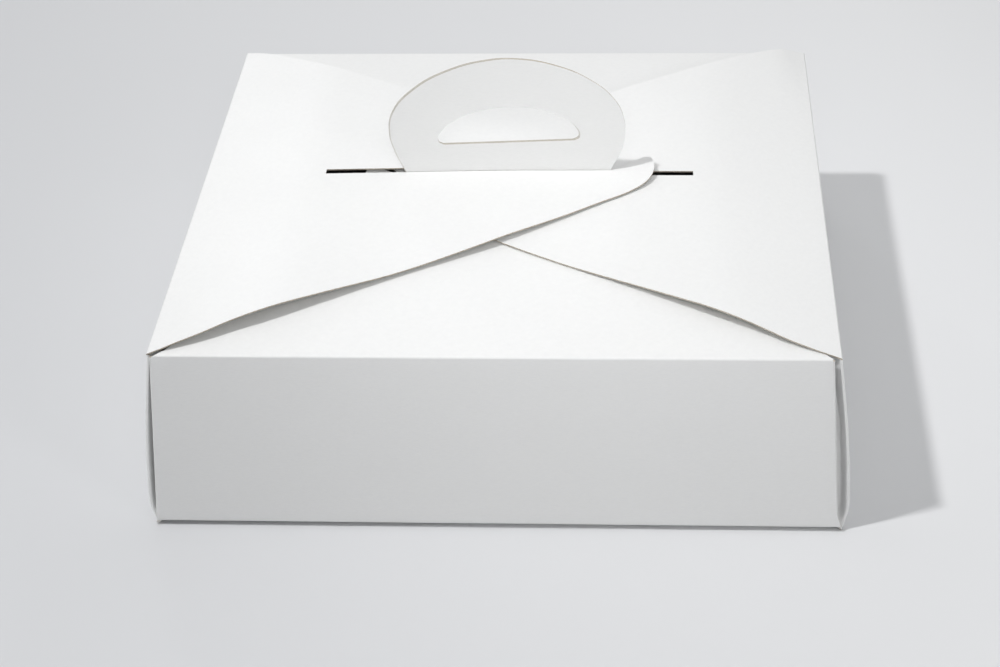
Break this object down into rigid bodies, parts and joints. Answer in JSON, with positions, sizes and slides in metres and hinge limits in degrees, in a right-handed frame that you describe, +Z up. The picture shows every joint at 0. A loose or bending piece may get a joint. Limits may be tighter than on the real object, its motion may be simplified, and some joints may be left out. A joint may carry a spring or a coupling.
{
  "type": "pizza box",
  "caption": "Square folded carry box of white coated board with interlocking top flaps and an upright double handle; the top flap swings open.",
  "frame": {"origin": "middle of the base's underside, where the box stands", "axes": "+X from the left wall to the right wall, +Y from the front wall to the rear wall, +Z upwards"},
  "size_m": [0.3052, 0.3, 0.1537],
  "materials": {
    "board": "white clay-coated paperboard, satin, with bare grey-brown cut edges"
  },
  "bodies": {
    "box": {"carton": "board"},
    "top_flap": {"left_flap": "board"}
  },
  "joints": [
    {"name": "left_flap_hinge", "type": "hinge", "parent": "box", "child": "top_flap", "pos_m": [-0.1457, 0, 0.0863], "axis": [0, -1, 0], "range_deg": [0, 180]}
  ]
}
